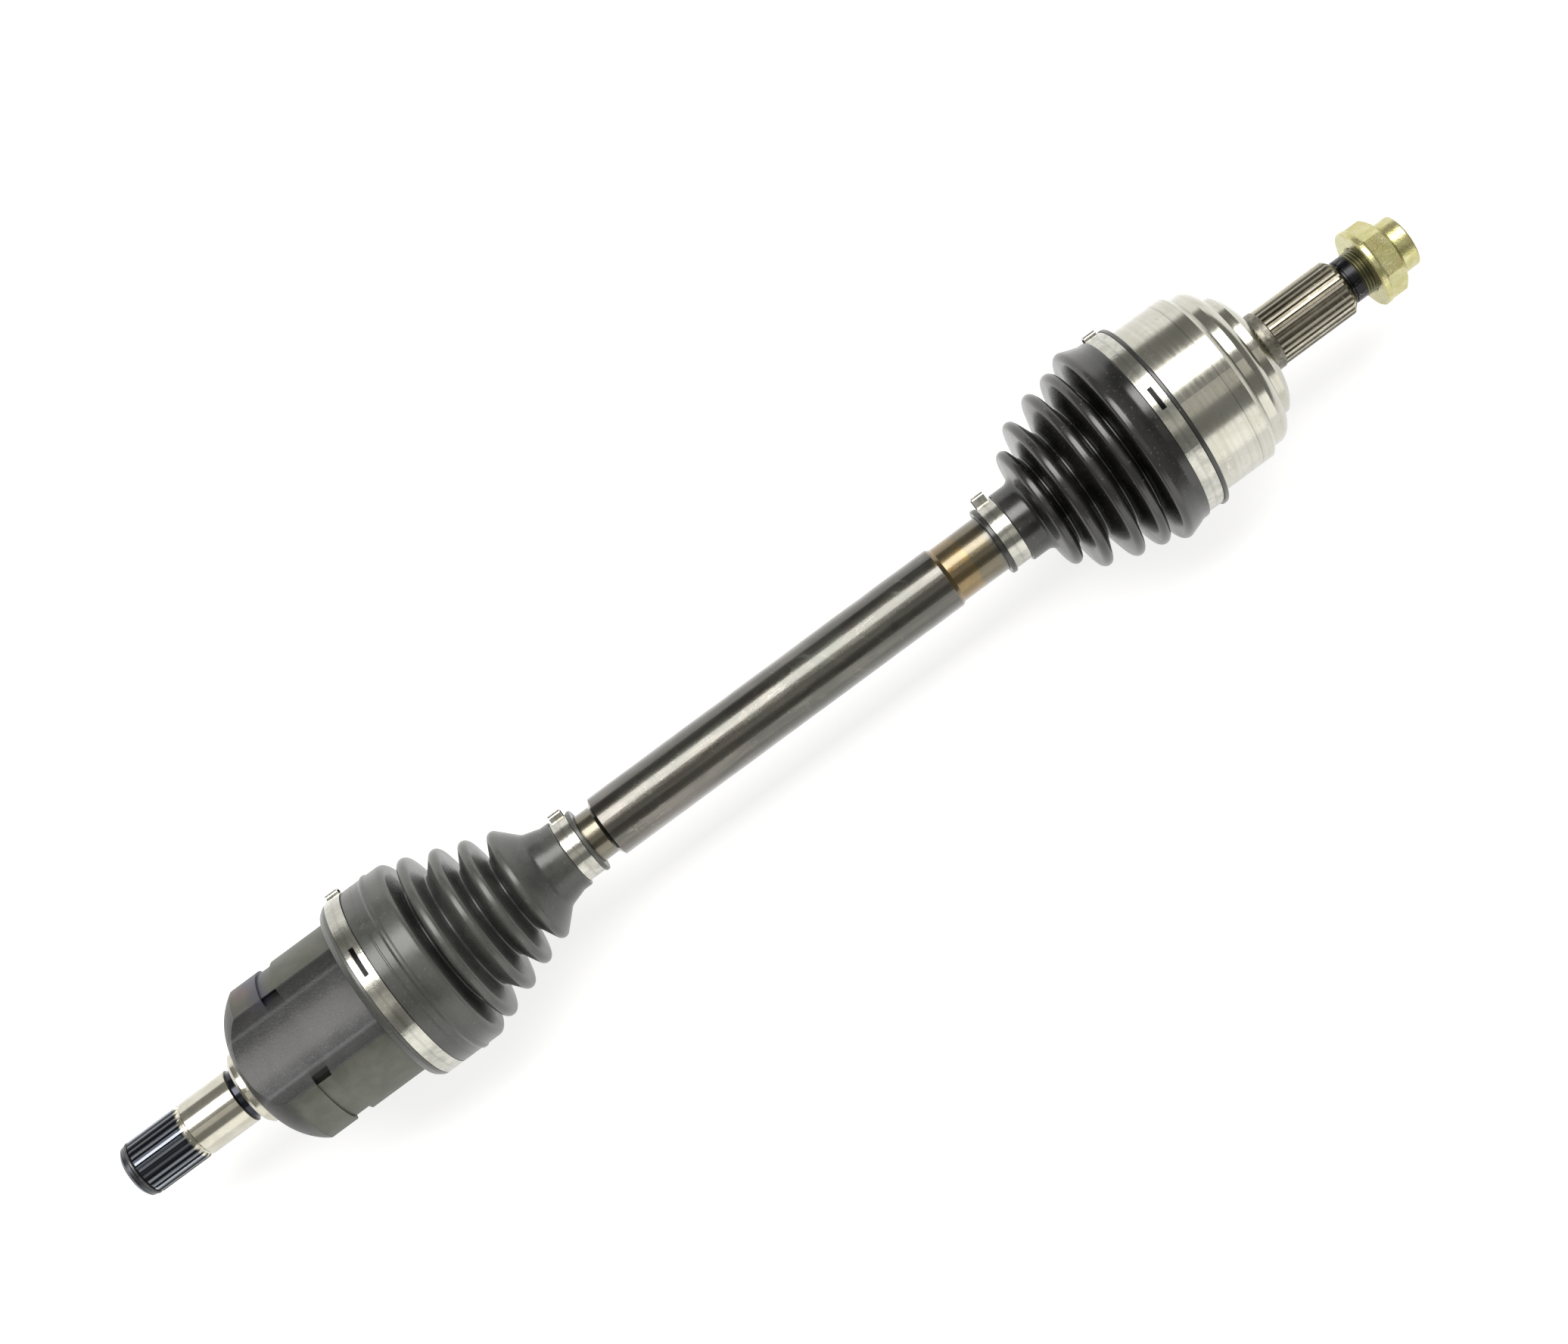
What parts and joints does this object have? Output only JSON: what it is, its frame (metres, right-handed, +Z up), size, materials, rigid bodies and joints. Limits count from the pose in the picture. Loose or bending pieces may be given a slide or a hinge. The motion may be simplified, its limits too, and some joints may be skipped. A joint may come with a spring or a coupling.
{
  "type": "cv axle",
  "caption": "Drive shaft with a ball joint, splined stub and hex nut at the wheel end and a plunging tripod joint with a splined stub at the gearbox end, both under pleated boots.",
  "frame": {"origin": "on the axle's axis, on the shoulder of the outboard housing that the wheel hub seats against", "axes": "+X along the axle towards the wheel and the nut, +Z up with the axle lying level, +Y to the left of +X seen from above"},
  "size_m": [0.693, 0.1004, 0.1004],
  "materials": {
    "bell_steel": "turned",
    "forged_steel": "turned and forged",
    "bar_steel": "heat treated, satin",
    "bearing_steel": "ground",
    "spring_steel": "oiled",
    "band_steel": "satin",
    "nut_zinc": "yellow zinc plated",
    "boot_black": "semi-gloss",
    "boot_grey": "satin",
    "bushing_plastic": "matte"
  },
  "bodies": {
    "outboard_housing": {"outboard_housing": "bell_steel", "axle_nut": "nut_zinc", "outboard_large_clamp": "band_steel", "outboard_boot": "boot_black"},
    "outboard_cage": {"outboard_cage": "bearing_steel", "outboard_ball_1": "bearing_steel", "outboard_ball_2": "bearing_steel", "outboard_ball_3": "bearing_steel", "outboard_ball_4": "bearing_steel", "outboard_ball_5": "bearing_steel", "outboard_ball_6": "bearing_steel"},
    "shaft": {"shaft": "bar_steel", "outboard_inner_race": "bearing_steel", "outboard_circlip": "spring_steel", "spider": "bearing_steel", "spider_inner_circlip": "spring_steel", "spider_outer_circlip": "spring_steel", "outboard_small_clamp": "band_steel", "inboard_small_clamp": "band_steel", "roller_retainer_1": "spring_steel", "roller_retainer_2": "spring_steel", "roller_retainer_3": "spring_steel", "roller_snap_ring_1": "spring_steel", "roller_snap_ring_2": "spring_steel", "roller_snap_ring_3": "spring_steel"},
    "roller_1": {"roller_1": "bearing_steel", "needles_1": "bearing_steel"},
    "roller_2": {"roller_2": "bearing_steel", "needles_2": "bearing_steel"},
    "roller_3": {"roller_3": "bearing_steel", "needles_3": "bearing_steel"},
    "inboard_boot": {"inboard_boot": "boot_grey"},
    "inboard_housing": {"inboard_housing": "forged_steel", "inboard_stop_ring": "spring_steel", "stub_snap_ring": "spring_steel", "inboard_large_clamp": "band_steel", "inboard_boot_adapter": "bushing_plastic"}
  },
  "joints": [
    {"name": "outboard_bend", "type": "hinge", "parent": "outboard_housing", "child": "shaft", "pos_m": [-0.0413, 0, 0], "axis": [0, 0, 1], "range_deg": [-45, 45], "deforming": ["outboard_boot"]},
    {"name": "outboard_cage_turn", "type": "hinge", "parent": "outboard_housing", "child": "outboard_cage", "pos_m": [-0.0413, 0, 0], "axis": [0, 0, 1], "range_deg": [-23, 23]},
    {"name": "inboard_bend", "type": "hinge", "parent": "shaft", "child": "inboard_boot", "pos_m": [-0.486, 0, 0], "axis": [0, 1, 0], "range_deg": [-15, 15], "deforming": ["inboard_boot"]},
    {"name": "inboard_plunge", "type": "slide", "parent": "inboard_boot", "child": "inboard_housing", "axis": [1, 0, 0], "range_m": [-0.012, 0.01]},
    {"name": "roller_1_spin", "type": "hinge", "parent": "shaft", "child": "roller_1", "pos_m": [-0.486, 0, 0], "axis": [0, 0.9537, 0.3007], "range_deg": [-44.5, 37.2]},
    {"name": "roller_2_spin", "type": "hinge", "parent": "shaft", "child": "roller_2", "pos_m": [-0.486, 0, 0], "axis": [0, -0.2164, -0.9763], "range_deg": [-44.5, 37.2]},
    {"name": "roller_3_spin", "type": "hinge", "parent": "shaft", "child": "roller_3", "pos_m": [-0.486, 0, 0], "axis": [0, -0.7373, 0.6756], "range_deg": [-44.5, 37.2]}
  ],
  "couplings": [
    {"joint": "outboard_cage_turn", "follows": "outboard_bend", "ratio": 0.5},
    {"joint": "roller_1_spin", "follows": "inboard_plunge", "rad_per_m": 63.694},
    {"joint": "roller_2_spin", "follows": "inboard_plunge", "rad_per_m": 63.694},
    {"joint": "roller_3_spin", "follows": "inboard_plunge", "rad_per_m": 63.694}
  ]
}
